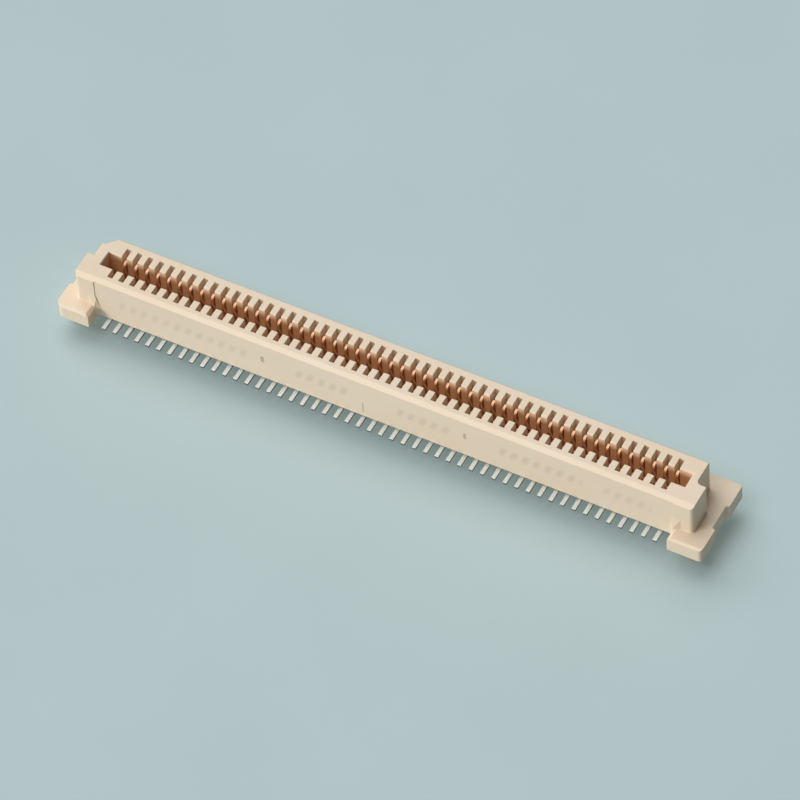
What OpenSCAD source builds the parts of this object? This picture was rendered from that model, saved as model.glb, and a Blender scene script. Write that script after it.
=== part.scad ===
// Board-to-board socket: a moulded bar with a long mating slot and two rows of spring contacts.
// X runs along the rows, Y across the slot, Z up. Z = 0 is the face of the board.

/* [Contact rows] */
// Contacts in each of the two rows
row_count = 50; // [10:1:60]
// Distance from one contact to the next
pitch = 0.8; // [0.7:0.05:1.2]

/* [Housing bar] */
// Height of the mating face above the board
bar_top = 3.66; // [3.2:0.02:5]
// Width of the bar across both rows
bar_w = 3.7; // [3.5:0.02:5]
// Gap between the underside of the bar and the board
bar_gap = 0.26; // [0.18:0.01:0.32]
// Length of the bar's front half beyond the last contact, at each end
bar_end = 2.3; // [2:0.02:4]
// Chamfer along the front edge of the mating face
front_chamfer = 0.25; // [0.05:0.01:0.4]
// Chamfer along the back edge of the mating face
back_chamfer = 0.12; // [0.05:0.01:0.4]
// Rounding of the two front corners of the bar
front_corner_r = 0.3; // [0.1:0.02:0.6]
// How far the front of each end block stands proud of the bar
block_step = 0.04; // [0.02:0.01:0.12]
// Start of the end blocks beyond the last contact
block_start = 0.9; // [0.7:0.05:1.5]

/* [Key steps at the ends] */
// How much shorter the back half is at the left end
key_left = 0.6; // [0.2:0.02:0.8]
// How much shorter the back half is at the right end
key_right = 0.7; // [0.2:0.02:0.8]
// Where the step lies across the bar, from its middle
key_y = -0.05; // [-0.5:0.05:0.5]
// Fillet in the corner of the left step
key_fillet_left = 0.2; // [0.05:0.01:0.3]
// Fillet in the corner of the right step
key_fillet_right = 0.32; // [0.05:0.01:0.4]
// Corner cut at the left back corner, along the row
cut_left_x = 0.75; // [0.1:0.05:1]
// Corner cut at the left back corner, across the row
cut_left_y = 0.9; // [0.1:0.05:1]
// Corner cut at the right back corner, along the row
cut_right_x = 0.35; // [0.1:0.05:1]
// Corner cut at the right back corner, across the row
cut_right_y = 0.06; // [0.02:0.02:1]

/* [Mating slot] */
// Width of the slot between the tips of the teeth
slot_w = 1.12; // [0.8:0.02:1.3]
// Length of the slot beyond the last contact, at each end
slot_end = 1.1; // [0.7:0.02:1.8]
// Height of the slot's floor above the board
slot_floor = 0.95; // [0.8:0.05:1.2]
// Width of the lead-in bevel round the slot
lead_in_w = 0.06; // [0.03:0.01:0.2]
// Depth of the lead-in bevel round the slot
lead_in_h = 0.08; // [0.04:0.02:0.4]
// Width of each contact groove
groove_w = 0.36; // [0.34:0.01:0.5]
// Depth of each contact groove behind the tips of the teeth
groove_d = 0.73; // [0.7:0.01:0.9]

/* [End plates] */
// Thickness of the end plates
plate_t = 1.12; // [0.8:0.02:1.5]
// Width of the end plates across the rows
plate_w = 5.8; // [5:0.1:8]
// Start of the end plates beyond the last contact
plate_start = 0.95; // [0.8:0.05:1.5]
// Reach of the end plates past the bar's end
plate_reach = 1.05; // [0.6:0.01:2]
// Rounding of the front outer corner of the left end plate
left_front_r = 0.55; // [0.1:0.05:0.8]
// Rounding of the front outer corner of the right end plate
right_front_r = 0.3; // [0.1:0.05:0.8]
// Rounding of the back outer corner of each end plate
plate_back_r = 0.15; // [0.05:0.05:0.8]
// Bevel along the front top edge of the end plates
plate_bevel = 0.14; // [0.05:0.01:0.25]
// Bevel along the inner top edge of the end plates, in front of the bar
inner_bevel = 0.2; // [0.05:0.01:0.25]
// Depth of the shallow recess in the outer end of each plate
recess_d = 0.22; // [0.1:0.02:0.4]
// Length of that recess in the right plate; in the left plate it runs on to the back
recess_w = 1.85; // [1:0.05:3]
// Fillet where the top of a plate meets the front and the end of the bar
foot_fillet = 0.08; // [0.05:0.01:0.4]
// Width of the gusset in the inner corner between a plate and the bar
gusset = 0.45; // [0.2:0.05:0.5]
// How far the front gusset stands out from the bar
gusset_out = 0.2; // [0.1:0.02:0.4]
// Height of the front gusset above the plate
gusset_rise = 1.15; // [0.5:0.05:1.6]
// Length of the front gusset's tail on the plate
gusset_tail = 0.6; // [0.3:0.05:1]

/* [Locating pegs] */
// Diameter of the two pegs
peg_d = 1.1; // [0.6:0.05:1.4]
// Length of the pegs below the board's face
peg_len = 1.4; // [0.6:0.05:2]
// Chamfer at the tip of each peg
peg_chamfer = 0.15; // [0.05:0.01:0.25]
// Place of the pegs beyond the last contact
peg_out = 2.1; // [1.8:0.05:3]

/* [Contacts] */
// Width of the contact strip
strip_w = 0.28; // [0.2:0.01:0.3]
// Width of the strip at the contact bump, where the spring beam has tapered
tip_w = 0.18; // [0.1:0.01:0.2]
// Thickness of the contact strip
strip_t = 0.15; // [0.1:0.01:0.16]
// Reach of the solder leads from the middle of the slot
lead_reach = 2.7; // [2.4:0.05:4]
// Bend radius between lead and root, at the middle of the strip
lead_bend = 0.24; // [0.15:0.01:0.26]
// Distance of the root from the middle of the slot
root_y = 1.05; // [1:0.01:1.12]
// Bend radius between root and spring beam
flex_bend = 0.5; // [0.3:0.05:0.8]
// Height of the first bend above the slot's floor
flex_rise = 0.1; // [0.05:0.05:0.4]
// Bend radius of the contact bump
bump_bend = 0.3; // [0.2:0.02:0.36]
// Depth of the bump below the mating face
bump_depth = 0.9; // [0.5:0.05:1]
// Distance of the bump's crest from the middle of the slot
bump_y = 0.4; // [0.3:0.01:0.5]
// Angle through which the tip turns back past the crest
tip_turn = 70; // [40:5:80]
// Straight length at the tip
tip_len = 0.14; // [0.05:0.01:0.25]
// Clearance round the root in its passage
root_clearance = 0.02; // [0.01:0.01:0.04]
// Height of the trough under each row, where the strips bend out to the leads
trough_h = 0.3; // [0.25:0.01:0.4]
// Clearance between the bend of a strip and the side of its trough
trough_clearance = 0.1; // [0.05:0.01:0.15]

/* [Hidden] */
$fn = 48;
slack = 1;
row_half = (row_count - 1) * pitch / 2;
bar_half = row_half + bar_end;
bar_half_w = bar_w / 2;
block_in = row_half + block_start;
block_half_w = bar_half_w + block_step;
slot_half = row_half + slot_end;
slot_half_w = slot_w / 2;
groove_y = slot_half_w + groove_d;
plate_in = row_half + plate_start;
plate_out = bar_half + plate_reach;
plate_half_w = plate_w / 2;
peg_x = row_half + peg_out;

// Trough under each row
trough_in = root_y - strip_t;
trough_out = root_y + strip_t / 2 + lead_bend + trough_clearance;
trough_half = row_half + pitch / 2;

// Centres of the two upper bends, and the beam that is tangent to both
flex_y = root_y - flex_bend;
flex_z = slot_floor + flex_rise;
crest_y = bump_y + strip_t / 2 + bump_bend;
crest_z = bar_top - bump_depth;
span_y = crest_y - flex_y;
span_z = crest_z - flex_z;
span = sqrt(span_y * span_y + span_z * span_z);
bends = flex_bend + bump_bend;
lean = atan2(span_z, span_y) - acos(bends / span);
beam_len = sqrt(span * span - bends * bends);

plastic = [0.85, 0.78, 0.69];
copper = [0.76, 0.55, 0.38];

// Each node of contacts holds two neighbours of one row
per_node = 2;
groups = ceil(row_count / per_node);
function group_name(row, group) =
    str(row < 0 ? "front" : "back", "_contacts_", group < 9 ? "0" : "", group + 1);
function contact_x(i) = i * pitch - row_half;

// Fills the inside corner at the origin, whose walls run along +x and +y
module corner_fillet(r) {
    difference() {
        square(r);
        translate([r, r]) circle(r);
    }
}

// Plan of the bar: two end blocks stand proud at the front, and the back half is shorter than the
// front half, by a different step at each end
module bar_plan() {
    left = bar_half - key_left;
    right = bar_half - key_right;
    difference() {
        polygon([
            [-bar_half, -block_half_w],
            [-block_in, -block_half_w],
            [-block_in, -bar_half_w],
            [block_in, -bar_half_w],
            [block_in, -block_half_w],
            [bar_half, -block_half_w],
            [bar_half, key_y],
            [right, key_y],
            [right, bar_half_w - cut_right_y],
            [right - cut_right_x, bar_half_w],
            [-left + cut_left_x, bar_half_w],
            [-left, bar_half_w - cut_left_y],
            [-left, key_y],
            [-bar_half, key_y]
        ]);
        for (side = [-1, 1])
            scale([side, 1])
                translate([bar_half, -block_half_w])
                    rotate(90)
                        corner_fillet(front_corner_r);
    }
    translate([right, key_y]) corner_fillet(key_fillet_right);
    translate([-left, key_y]) rotate(90) corner_fillet(key_fillet_left);
}

// Carries a section drawn across the bar, with y to the right and z up, along the row
module along_row(from, to) {
    translate([from, 0, 0])
        rotate([90, 0, 90])
            linear_extrude(to - from)
                children();
}

module bar() {
    reach = bar_half + slack;
    difference() {
        translate([0, 0, bar_gap]) linear_extrude(bar_top - bar_gap) bar_plan();
        along_row(-reach, reach) {
            scale([-1, 1]) top_edge(front_chamfer);
            top_edge(back_chamfer);
        }
    }
}

// Section of what a chamfer takes from a long top edge of the bar
module top_edge(chamfer) {
    polygon([
        [bar_half_w - chamfer, bar_top],
        [bar_half_w + slack, bar_top - chamfer - slack],
        [bar_half_w + slack, bar_top]
    ]);
}

// Plan of an end plate at the right, with the shallow recess in its outer end, open to the back or closed
module plate_plan(front_r, open) {
    shoulder = recess_w / 2 + recess_d / 2;
    recess_x = plate_out - recess_d;
    back_x = open ? recess_x : plate_out;
    horn = open ? [] : [[recess_x, recess_w / 2], [plate_out, shoulder]];
    difference() {
        polygon(concat(
            [[plate_in, -plate_half_w], [plate_out, -plate_half_w]],
            [[plate_out, -shoulder], [recess_x, -recess_w / 2]],
            horn,
            [[back_x, plate_half_w], [plate_in, plate_half_w]]
        ));
        translate([plate_out, -plate_half_w]) rotate(90) corner_fillet(front_r);
        translate([back_x, plate_half_w]) rotate(180) corner_fillet(plate_back_r);
    }
}

// One end of the housing: the plate, its fillets against the bar and the gussets in its inner corners
module end_plate(front_r, open) {
    difference() {
        linear_extrude(plate_t) plate_plan(front_r, open);
        along_row(plate_in - slack, plate_out + slack)
            polygon([
                [-plate_half_w + plate_bevel, plate_t],
                [-plate_half_w - slack, plate_t - plate_bevel - slack],
                [-plate_half_w - slack, plate_t]
            ]);
        translate([0, -bar_half_w, 0])
            rotate([90, 0, 0])
                linear_extrude(plate_half_w)
                    polygon([
                        [plate_in + inner_bevel, plate_t],
                        [plate_in - slack, plate_t - inner_bevel - slack],
                        [plate_in - slack, plate_t]
                    ]);
    }
    foot_fillets();
    front_gusset();
    translate([plate_in, bar_half_w, bar_gap])
        rotate(90)
            linear_extrude(plate_t - bar_gap)
                corner_fillet(gusset);
}

// Fillet between the top of the plate and the end block: along its front, round its corner, along its end
module foot_fillets() {
    corner = [bar_half - front_corner_r, front_corner_r - block_half_w, plate_t];
    along_row(block_in, corner.x)
        translate([-block_half_w, plate_t])
            rotate(90)
                corner_fillet(foot_fillet);
    translate(corner)
        rotate(-90)
            rotate_extrude(angle = 90)
                translate([front_corner_r, 0])
                    corner_fillet(foot_fillet);
    translate([bar_half, key_y, plate_t])
        rotate([90, 0, 0])
            linear_extrude(key_y - corner.y)
                corner_fillet(foot_fillet);
}

// Web from the inner side of a plate up the front of the bar, hollow inwards and with a tail on the plate
module front_gusset() {
    top = plate_t + gusset_rise;
    shoulder = bar_gap + gusset;
    tail = plate_in + gusset_tail;
    hollow_r = (gusset * gusset + gusset_out * gusset_out) / (2 * gusset_out);
    intersection() {
        translate([plate_in, -bar_half_w, bar_gap])
            linear_extrude(top - bar_gap)
                difference() {
                    polygon([[-gusset, 0], [-gusset, -gusset_out], [0, -gusset_out], [gusset_tail, 0]]);
                    translate([-gusset, -hollow_r]) circle(hollow_r);
                }
        along_row(plate_in - gusset, tail)
            polygon([
                [-bar_half_w, bar_gap],
                [-bar_half_w, top],
                [-bar_half_w - gusset_out, plate_t],
                [-bar_half_w - gusset_out, bar_gap]
            ]);
        translate([0, -bar_half_w, 0])
            rotate([90, 0, 0])
                linear_extrude(gusset_out)
                    polygon([
                        [plate_in - gusset, bar_gap],
                        [plate_in - gusset, shoulder],
                        [plate_in, top],
                        [tail, top],
                        [tail, bar_gap]
                    ]);
    }
}

module peg() {
    tip_d = peg_d - 2 * peg_chamfer;
    translate([peg_x, 0, peg_chamfer - peg_len]) cylinder(d = peg_d, h = peg_len - peg_chamfer + plate_t / 2);
    translate([peg_x, 0, -peg_len]) cylinder(d1 = tip_d, d2 = peg_d, h = peg_chamfer);
}

// Outline of the slot with all its grooves, as the comb that the teeth leave open
module comb_plan() {
    half = groove_w / 2;
    front = [for (i = [0 : row_count - 1]) each [
        [contact_x(i) - half, -slot_half_w],
        [contact_x(i) - half, -groove_y],
        [contact_x(i) + half, -groove_y],
        [contact_x(i) + half, -slot_half_w]
    ]];
    back = [for (i = [len(front) - 1 : -1 : 0]) [front[i].x, -front[i].y]];
    polygon(concat(
        [[-slot_half, -slot_half_w]], front, [[slot_half, -slot_half_w]],
        [[slot_half, slot_half_w]], back, [[-slot_half, slot_half_w]]
    ));
}

// Section of the slot's mouth, which flares from the slot's half size to the mating face
module flare(half) {
    polygon([
        [-half, bar_top - lead_in_h],
        [half, bar_top - lead_in_h],
        [half + lead_in_w, bar_top],
        [half + lead_in_w, bar_top + slack],
        [-half - lead_in_w, bar_top + slack],
        [-half - lead_in_w, bar_top]
    ]);
}

module mating_slot() {
    reach = slot_half + lead_in_w;
    reach_w = slot_half_w + lead_in_w;
    translate([0, 0, slot_floor]) linear_extrude(bar_top - slot_floor + slack) comb_plan();
    intersection() {
        along_row(-reach, reach) flare(slot_half_w);
        translate([0, reach_w, 0]) rotate([90, 0, 0]) linear_extrude(2 * reach_w) flare(slot_half);
    }
}

// Passage of each root through the floor, open into the trough below
module root_passages() {
    room = [strip_w + 2 * root_clearance, strip_t + 2 * root_clearance];
    translate([0, 0, bar_gap])
        linear_extrude(slot_floor - bar_gap + groove_d)
            for (side = [-1, 1])
                for (i = [0 : row_count - 1])
                    translate([contact_x(i), side * root_y])
                        square(room, center = true);
}

module troughs() {
    for (side = [-1, 1])
        scale([1, side, 1])
            translate([-trough_half, trough_in, 0])
                cube([2 * trough_half, trough_out - trough_in, bar_gap + trough_h]);
}

module housing() {
    color(plastic)
        difference() {
            union() {
                bar();
                scale([-1, 1, 1]) end_plate(left_front_r, open = true);
                end_plate(right_front_r, open = false);
                for (side = [-1, 1])
                    scale([side, 1, 1])
                        peg();
            }
            mating_slot();
            root_passages();
            troughs();
        }
}

// Sector of a bent strip about the origin
module bend(r, from, to) {
    far = 2 * (r + strip_t);
    mid = (from + to) / 2;
    intersection() {
        difference() {
            circle(r + strip_t / 2);
            circle(r - strip_t / 2);
        }
        polygon([[0, 0], for (a = [from, mid, to]) far * [cos(a), sin(a)]]);
    }
}

// Side view of a contact, with the distance from the middle of the slot to the right and z up
module contact_profile() {
    half = strip_t / 2;
    root_z = half + lead_bend;
    translate([root_y + lead_bend, 0]) square([lead_reach - root_y - lead_bend, strip_t]);
    translate([root_y + lead_bend, root_z]) bend(lead_bend, 180, 270);
    translate([root_y - half, root_z]) square([strip_t, flex_z - root_z]);
    translate([flex_y, flex_z]) {
        bend(flex_bend, 0, lean);
        rotate(lean) {
            translate([flex_bend - half, 0]) square([strip_t, beam_len]);
            translate([flex_bend + bump_bend, beam_len]) bump();
        }
    }
}

// Round bump at the end of the beam and the tip that turns back, about the centre of the bump
module bump() {
    turn = lean + tip_turn;
    bend(bump_bend, 180 - turn, 180);
    rotate(-turn) translate([-bump_bend - strip_t / 2, 0]) square([strip_t, tip_len]);
}

// What the taper takes from one side of the spring beam, seen from the front
module taper() {
    half = strip_w / 2;
    polygon([
        [half, flex_z],
        [half + slack, flex_z],
        [half + slack, bar_top],
        [tip_w / 2, bar_top],
        [tip_w / 2, crest_z]
    ]);
}

module contact(row, i) {
    translate([contact_x(i), 0, 0])
        scale([1, row, 1])
            difference() {
                along_row(-strip_w / 2, strip_w / 2) contact_profile();
                for (side = [-1, 1])
                    scale([side, 1, 1])
                        translate([0, lead_reach, 0])
                            rotate([90, 0, 0])
                                linear_extrude(lead_reach)
                                    taper();
            }
}

module contact_group(row, group) {
    last = min(row_count, (group + 1) * per_node) - 1;
    color(copper)
        for (i = [group * per_node : last])
            contact(row, i);
}

housing();
for (row = [-1, 1])
    for (group = [0 : groups - 1])
        contact_group(row, group);
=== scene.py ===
"""Looks of the board-to-board socket: materials, floor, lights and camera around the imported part."""

import math

import bpy
from mathutils import Matrix, Vector


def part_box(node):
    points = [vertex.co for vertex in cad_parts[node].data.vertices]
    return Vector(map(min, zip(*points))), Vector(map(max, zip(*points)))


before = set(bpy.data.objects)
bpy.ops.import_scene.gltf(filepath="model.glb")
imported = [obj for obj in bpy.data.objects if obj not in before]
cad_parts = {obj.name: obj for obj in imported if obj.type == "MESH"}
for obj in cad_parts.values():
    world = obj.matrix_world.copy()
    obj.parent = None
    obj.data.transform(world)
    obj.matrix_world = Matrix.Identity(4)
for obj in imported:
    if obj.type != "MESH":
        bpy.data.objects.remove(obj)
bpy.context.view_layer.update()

MM = 0.001

# How far the end plates stand out in front of the bar, and how far the slot ends inside them
PLATE_REACH = 1.05 * MM
SLOT_INSET = 2.25 * MM

# Places on the part, in metres. A node of contacts holds two neighbours of one row
HOUSING_LOW, HOUSING_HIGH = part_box("housing")
CONTACT_LOW, CONTACT_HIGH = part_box("front_contacts_01")
NEXT_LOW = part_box("front_contacts_02")[0]
PITCH = (NEXT_LOW.x - CONTACT_LOW.x) / 2
FIRST_X = (CONTACT_LOW.x + CONTACT_HIGH.x - PITCH) / 2
LEAD_END = -CONTACT_LOW.y
BAR_TOP = HOUSING_HIGH.z
BAR_FRONT = HOUSING_LOW.y + PLATE_REACH
SLOT_END = HOUSING_HIGH.x - SLOT_INSET

# A mark on a face reaches this deep, and fades over as much again
SKIN = 0.05 * MM

# Finish of a contact: tin up to the bend of the lead, gilt on the bump, bronze between them
TIN_FULL = CONTACT_LOW.z + 0.3 * MM
TIN_NONE = CONTACT_LOW.z + 0.55 * MM
GILT_NONE = CONTACT_HIGH.z - 0.36 * MM
GILT_FULL = CONTACT_HIGH.z - 0.14 * MM

# Painted shade of faint sink marks on the front of the bar, one to a pitch, beside each contact and leaning
# as they rise
SINK_MIDDLE = 1.96 * MM
SINK_HEIGHT = 0.28 * MM
SINK_FADE = 0.4 * MM
SINK_OFFSET = 0.284 * MM
SINK_LEAN = 0.4
# Width of a sink mark and of the fade on each side of it, in pitches
SINK_WIDTH = 0.16
SINK_SIDE_FADE = 0.36
# Groups of sink marks: first and last place in pitches from the first contact, and strength
SINK_GROUPS = (
    (1.25, 12.75, 0.26),
    (17.25, 21.75, 0.34),
    (26.25, 30.75, 0.34),
    (35.25, 42.0, 0.36),
    (44.25, 48.0, 0.24),
)

# Scuffs on the front of the bar: middle along and up, half width and half height in millimetres, and strength
SCUFFS = (
    (-8.34, 2.03, 0.09, 0.24, 0.5),
    (6.05, 2.1, 0.07, 0.22, 0.5),
    (-1.19, 1.11, 0.03, 0.46, 0.4),
)
SCUFF_SIDE_FADE = 0.05 * MM
SCUFF_END_FADE = 0.06 * MM

# Painted warm reflection from the contacts and painted shade on the slot's walls, by distance from the middle
# plane: full at the teeth, none behind the grooves
GLOW_FULL = 0.7 * MM
GLOW_NONE = 1.45 * MM
GLOW_END_FADE = 0.1 * MM
# Depths below the top at which the painted reflection and shade are full, and between which they spread to
# the sides of the grooves
GLOW_DEPTH = 0.75 * MM
GLOW_SIDES_FROM = 0.5 * MM
GLOW_SIDES_FULL = 1.2 * MM

# Camera: the direction it looks from, its roll, its distance and its focal length in image widths
AZIMUTH = math.radians(31.353)
ELEVATION = math.radians(50.489)
ROLL = math.radians(-4.258)
DISTANCE = 378.33 * MM
FOCAL_WIDTHS = 7.5165
SENSOR_MM = 36
SHIFT = (0.0070, 0.0052)

PANEL_DISTANCE = 2500 * MM
FLOOR_HALF = 1200 * MM


def srgb(r, g, b):
    """Linear colour of an 8-bit screen colour."""
    def linear(v):
        v /= 255
        return v / 12.92 if v <= 0.04045 else ((v + 0.055) / 1.055) ** 2.4
    return linear(r), linear(g), linear(b), 1.0


class Graph:
    """A material's node tree, with short calls for the nodes that are used here."""

    def __init__(self, name):
        self.material = bpy.data.materials.new(name)
        self.material.use_nodes = True
        self.tree = self.material.node_tree
        self.shader = self.tree.nodes["Principled BSDF"]

    def node(self, kind, **values):
        """A new node with its properties and its inputs set by name."""
        made = self.tree.nodes.new(kind)
        for key, value in values.items():
            if hasattr(made, key):
                setattr(made, key, value)
            else:
                made.inputs[key].default_value = value
        return made

    def link(self, source, target):
        self.tree.links.new(source, target)

    def math(self, operation, a, b=None, c=None, clamp=False):
        """Result of a math node whose inputs are numbers or sockets."""
        made = self.node("ShaderNodeMath", operation=operation, use_clamp=clamp)
        for slot, value in zip(made.inputs, (a, b, c)):
            if isinstance(value, (int, float)):
                slot.default_value = value
            elif value is not None:
                self.link(value, slot)
        return made.outputs[0]

    def product(self, first, *others):
        for other in others:
            first = self.math("MULTIPLY", first, other)
        return first

    def ramp(self, value, low, high):
        """Goes smoothly from 0 at low to 1 at high."""
        made = self.node("ShaderNodeMapRange", interpolation_type="SMOOTHSTEP")
        self.link(value, made.inputs["Value"])
        made.inputs["From Min"].default_value = low
        made.inputs["From Max"].default_value = high
        return made.outputs["Result"]

    def band(self, value, low, high, fade):
        """1 between low and high, going to 0 over fade on each side."""
        rise = self.ramp(value, low - fade, low)
        fall = self.ramp(value, high + fade, high)
        return self.product(rise, fall)

    def mix(self, factor, a, b):
        """Colour a where the factor is 0, and b where it is 1."""
        made = self.node("ShaderNodeMix", data_type="RGBA")
        for name, value in (("Factor_Float", factor), ("A_Color", a), ("B_Color", b)):
            slot = next(s for s in made.inputs if s.identifier == name)
            if isinstance(value, tuple):
                slot.default_value = value
            else:
                self.link(value, slot)
        return next(s for s in made.outputs if s.identifier == "Result_Color")

    def noise(self, size_mm, detail=2, stretch=(1, 1, 1)):
        """Noise between 0 and 1 whose grains are about size_mm across, fixed to the part."""
        where = self.node("ShaderNodeTexCoord")
        scaled = self.node("ShaderNodeMapping", Scale=stretch)
        self.link(where.outputs["Object"], scaled.inputs["Vector"])
        made = self.node("ShaderNodeTexNoise", Scale=1 / (size_mm * MM), Detail=detail, Roughness=0.5)
        self.link(scaled.outputs["Vector"], made.inputs["Vector"])
        return made.outputs["Fac"]

    def place(self):
        """The three coordinates of a point of the part, in metres."""
        where = self.node("ShaderNodeTexCoord")
        split = self.node("ShaderNodeSeparateXYZ")
        self.link(where.outputs["Object"], split.inputs[0])
        return split.outputs["X"], split.outputs["Y"], split.outputs["Z"]

    def facing(self, axis):
        """1 on a face square to the axis X, Y or Z, and 0 on a face along it."""
        surface = self.node("ShaderNodeNewGeometry")
        split = self.node("ShaderNodeSeparateXYZ")
        self.link(surface.outputs["True Normal"], split.inputs[0])
        return self.ramp(self.math("ABSOLUTE", split.outputs[axis]), 0.4, 0.7)

    def edges(self, radius_mm):
        """Softened normal round the edges, and a mask that is 1 on the edges themselves."""
        softened = self.node("ShaderNodeBevel", samples=6, Radius=radius_mm * MM)
        flat = self.node("ShaderNodeNewGeometry")
        turn = self.node("ShaderNodeVectorMath", operation="DOT_PRODUCT")
        self.link(softened.outputs["Normal"], turn.inputs[0])
        self.link(flat.outputs["True Normal"], turn.inputs[1])
        return softened.outputs["Normal"], self.ramp(turn.outputs["Value"], 0.99, 0.85)

    def bump(self, height, distance_mm, strength, normal):
        """Gives the shader a fine relief on top of the softened normal."""
        made = self.node("ShaderNodeBump", Strength=strength, Distance=distance_mm * MM)
        self.link(height, made.inputs["Height"])
        self.link(normal, made.inputs["Normal"])
        self.link(made.outputs["Normal"], self.shader.inputs["Normal"])


def sink_mark_shade(g, x, z):
    """Mask of the painted shade of the faint slanted sink marks, low on the front of the bar, in five groups
    along it.
    """
    start = FIRST_X + SINK_OFFSET - SINK_LEAN * SINK_MIDDLE - PITCH / 2
    leaned = g.math("MULTIPLY_ADD", z, -SINK_LEAN, x)
    across = g.math("FRACT", g.math("DIVIDE", g.math("SUBTRACT", leaned, start), PITCH))
    upright = g.band(z, SINK_MIDDLE - SINK_HEIGHT / 2, SINK_MIDDLE + SINK_HEIGHT / 2, SINK_FADE)
    shown = 0.0
    for first, last, strength in SINK_GROUPS:
        group = g.band(x, FIRST_X + first * PITCH, FIRST_X + last * PITCH, PITCH / 2)
        shown = g.math("ADD", g.product(group, strength), shown)
    sideways = g.band(across, 0.5 - SINK_WIDTH / 2, 0.5 + SINK_WIDTH / 2, SINK_SIDE_FADE)
    return g.product(sideways, upright, shown)


def scuff_mask(g, x, z, along, up, half_width, half_height):
    """Mask of one scuff on the front of the bar, given in millimetres."""
    wide = g.band(x, (along - half_width) * MM, (along + half_width) * MM, SCUFF_SIDE_FADE)
    high = g.band(z, (up - half_height) * MM, (up + half_height) * MM, SCUFF_END_FADE)
    return g.product(wide, high)


def slot_reflection_and_shade(g, x, y, z):
    """How much painted warm reflection and shade the slot's thin walls get: more along the slot and with
    depth, and none on level faces.
    """
    near = g.ramp(g.math("ABSOLUTE", y), GLOW_NONE, GLOW_FULL)
    between = g.ramp(g.math("ABSOLUTE", x), SLOT_END + GLOW_END_FADE, SLOT_END)
    deep = g.ramp(z, BAR_TOP - GLOW_SIDES_FROM, BAR_TOP - GLOW_SIDES_FULL)
    along = g.math("MAXIMUM", g.math("MULTIPLY_ADD", g.facing("Y"), 0.8, 0.2), deep)
    walls = g.math("SUBTRACT", along, g.facing("Z"), clamp=True)
    depth = g.math("MULTIPLY_ADD", g.ramp(z, BAR_TOP, BAR_TOP - GLOW_DEPTH), 0.75, 0.25)
    return g.product(near, between, walls, depth)


def housing_plastic():
    """Beige plastic: fine moulded grain, flow clouds and scuffs, painted shade in faint sink marks, a painted
    warm reflection and shade in the slot, and lighter edges that are partly wear and partly a painted
    highlight.
    """
    g = Graph("housing_plastic")
    x, y, z = g.place()
    clouds = g.noise(3.2, stretch=(0.35, 1, 1))
    colour = g.mix(g.ramp(clouds, 0.35, 0.75), srgb(235, 217, 193), srgb(233, 213, 187))
    specks = g.ramp(g.noise(0.12), 0.66, 0.78)
    colour = g.mix(g.product(specks, 0.12), colour, srgb(196, 172, 140))

    on_front = g.ramp(y, BAR_FRONT + 2 * SKIN, BAR_FRONT + SKIN)
    # Painted shade: the faint sink marks are darkened in the colour
    colour = g.mix(g.product(sink_mark_shade(g, x, z), on_front), colour, srgb(196, 172, 144))
    for *where, strength in SCUFFS:
        scuff = g.product(scuff_mask(g, x, z, *where), on_front, strength)
        colour = g.mix(scuff, colour, srgb(150, 100, 70))

    # Painted light: the slot's walls are tinted warm and darker where the contacts' reflection and the slot's
    # shade fall
    colour = g.mix(slot_reflection_and_shade(g, x, y, z), colour, srgb(221, 168, 119))
    normal, edge = g.edges(0.05)
    # Lighter edges: partly worn plastic, partly a painted highlight along the edges
    worn_edge_sheen = g.product(edge, g.ramp(g.noise(0.6), 0.4, 0.65))
    colour = g.mix(g.product(worn_edge_sheen, 0.3), colour, srgb(246, 234, 214))
    g.link(colour, g.shader.inputs["Base Color"])

    grain = g.noise(0.05, detail=3)
    rough = g.math("MULTIPLY_ADD", grain, 0.16, 0.44)
    g.link(g.math("MULTIPLY_ADD", worn_edge_sheen, -0.1, rough), g.shader.inputs["Roughness"])
    g.shader.inputs["Specular IOR Level"].default_value = 0.4
    g.shader.inputs["Subsurface Weight"].default_value = 0.08
    g.shader.inputs["Subsurface Radius"].default_value = (0.6 * MM, 0.3 * MM, 0.2 * MM)
    g.shader.inputs["Subsurface Scale"].default_value = 1.0
    g.bump(grain, 0.006, 0.35, normal)
    return g.material


def contact_metal():
    """Stamped strip with drawn lines along it: gilt bump, bronze beam and tinned solder lead."""
    g = Graph("contact_metal")
    _, y, z = g.place()
    lines = g.noise(0.03, stretch=(1, 0.08, 0.08))
    gilt = g.mix(lines, srgb(255, 220, 185), srgb(252, 203, 163))
    bronze = g.mix(lines, srgb(234, 192, 148), srgb(218, 172, 126))
    tin = g.mix(lines, srgb(242, 247, 246), srgb(222, 229, 229))
    lead = g.ramp(z, TIN_NONE, TIN_FULL)
    beam = g.mix(g.ramp(z, GILT_NONE, GILT_FULL), bronze, gilt)
    colour = g.mix(lead, beam, tin)
    normal, edge = g.edges(0.05)
    worn = g.product(edge, g.ramp(g.noise(0.2), 0.45, 0.7))
    colour = g.mix(g.product(worn, 0.25), colour, srgb(168, 118, 84))

    # The lead was cut from the strip after plating, so its sides and its end are bare and dull; their dark
    # grey is partly that bare metal and partly painted shade along the lead's sides and end
    end = g.ramp(g.math("ABSOLUTE", y), LEAD_END - 2 * SKIN, LEAD_END - SKIN)
    bare_and_shaded = g.math("MAXIMUM", g.facing("X"), g.product(g.facing("Y"), end))
    colour = g.mix(g.product(bare_and_shaded, lead, 0.85), colour, srgb(128, 124, 112))
    g.link(colour, g.shader.inputs["Base Color"])

    g.shader.inputs["Metallic"].default_value = 1.0
    rough = g.math("MULTIPLY_ADD", lines, 0.12, 0.54)
    g.link(g.math("MULTIPLY_ADD", lead, 0.08, rough), g.shader.inputs["Roughness"])
    g.bump(lines, 0.003, 0.3, normal)
    return g.material


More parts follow.
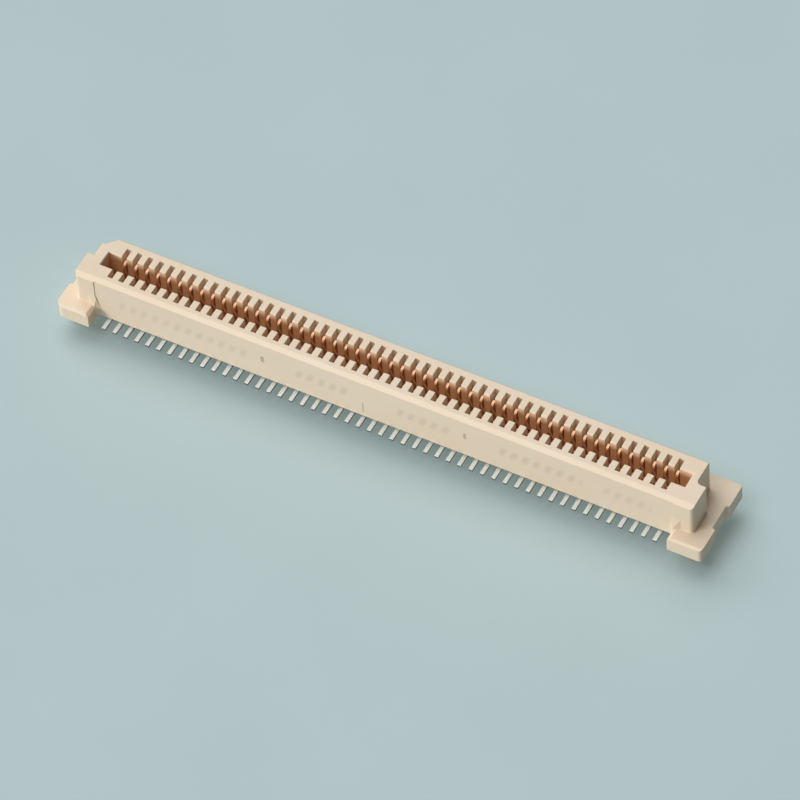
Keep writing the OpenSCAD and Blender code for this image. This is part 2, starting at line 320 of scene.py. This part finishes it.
def floor_paper():
    """Pale blue-grey ground with a very faint mottle and a little light of its own."""
    g = Graph("floor_paper")
    colour = g.mix(g.noise(14), srgb(181, 199, 200), srgb(175, 193, 194))
    g.link(colour, g.shader.inputs["Base Color"])
    g.link(colour, g.shader.inputs["Emission Color"])
    g.shader.inputs["Emission Strength"].default_value = 0.2
    g.shader.inputs["Roughness"].default_value = 0.55
    g.shader.inputs["Specular IOR Level"].default_value = 0.3
    return g.material


def dress(nodes):
    """Gives every CAD node its procedural material."""
    plastic, metal = housing_plastic(), contact_metal()
    for name, node in nodes.items():
        node.data.materials.clear()
        node.data.materials.append(plastic if name == "housing" else metal)


def add_floor():
    """A level square at the height of the part's lowest point."""
    low, high = -FLOOR_HALF, FLOOR_HALF
    corners = [(low, low, 0), (high, low, 0), (high, high, 0), (low, high, 0)]
    mesh = bpy.data.meshes.new("floor")
    mesh.from_pydata(corners, [], [(0, 1, 2, 3)])
    mesh.materials.append(floor_paper())
    floor = bpy.data.objects.new("floor", mesh)
    floor.location.z = HOUSING_LOW.z
    bpy.context.scene.collection.objects.link(floor)
    return floor


def add_panel(name, towards, size_mm, watts, tint=(1.0, 1.0, 1.0)):
    """A soft panel that shines on the middle of the part from the direction towards it."""
    data = bpy.data.lights.new(name, "AREA")
    data.shape = "RECTANGLE"
    data.size, data.size_y = size_mm[0] * MM, size_mm[1] * MM
    data.energy = watts
    data.color = tint
    light = bpy.data.objects.new(name, data)
    direction = Vector(towards).normalized()
    light.location = direction * PANEL_DISTANCE
    light.rotation_euler = direction.to_track_quat("Z", "Y").to_euler()
    bpy.context.scene.collection.objects.link(light)
    return light


def leave_out(light, piece):
    """Keeps the light, and the shadows that it casts, off one piece."""
    unlit = bpy.data.collections.new("unlit_by_" + light.name)
    unlit.objects.link(piece)
    unlit.collection_objects[0].light_linking.link_state = "EXCLUDE"
    light.light_linking.receiver_collection = unlit


def add_lights(floor):
    """Three soft panels and a faint sky. The left panel leaves out the floor, so it stays even."""
    world = bpy.data.worlds.new("studio")
    bpy.context.scene.world = world
    world.use_nodes = True
    sky = world.node_tree.nodes["Background"]
    sky.inputs["Color"].default_value = srgb(255, 250, 244)
    sky.inputs["Strength"].default_value = 0.07
    add_panel("overhead", towards=(-0.43, 0.26, 1.0), size_mm=(2400, 2400), watts=44.8,
              tint=(0.97, 0.985, 1.0))
    left = add_panel("left", towards=(-0.65, -0.75, 0.25), size_mm=(1100, 700), watts=39.8,
                     tint=(1.0, 0.965, 0.945))
    add_panel("fill", towards=(-0.20, -0.60, 1.0), size_mm=(1390, 830), watts=16)
    leave_out(left, floor)


def add_camera():
    """The photograph's view: looks along the chosen direction, rolled a little about it."""
    data = bpy.data.cameras.new("camera")
    data.sensor_width = SENSOR_MM
    data.lens = FOCAL_WIDTHS * SENSOR_MM
    data.shift_x, data.shift_y = SHIFT
    data.clip_start = 10 * MM
    camera = bpy.data.objects.new("camera", data)
    back = Vector((
        math.sin(AZIMUTH) * math.cos(ELEVATION),
        -math.cos(AZIMUTH) * math.cos(ELEVATION),
        math.sin(ELEVATION),
    ))
    level = Vector((math.cos(AZIMUTH), math.sin(AZIMUTH), 0))
    upright = back.cross(level)
    right = math.cos(ROLL) * level + math.sin(ROLL) * upright
    up = math.cos(ROLL) * upright - math.sin(ROLL) * level
    turn = Matrix((right, up, back)).transposed().to_4x4()
    camera.matrix_world = Matrix.Translation(back * DISTANCE) @ turn
    bpy.context.scene.collection.objects.link(camera)
    bpy.context.scene.camera = camera


dress(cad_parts)
add_lights(add_floor())
add_camera()
bpy.context.scene.view_settings.view_transform = "Standard"
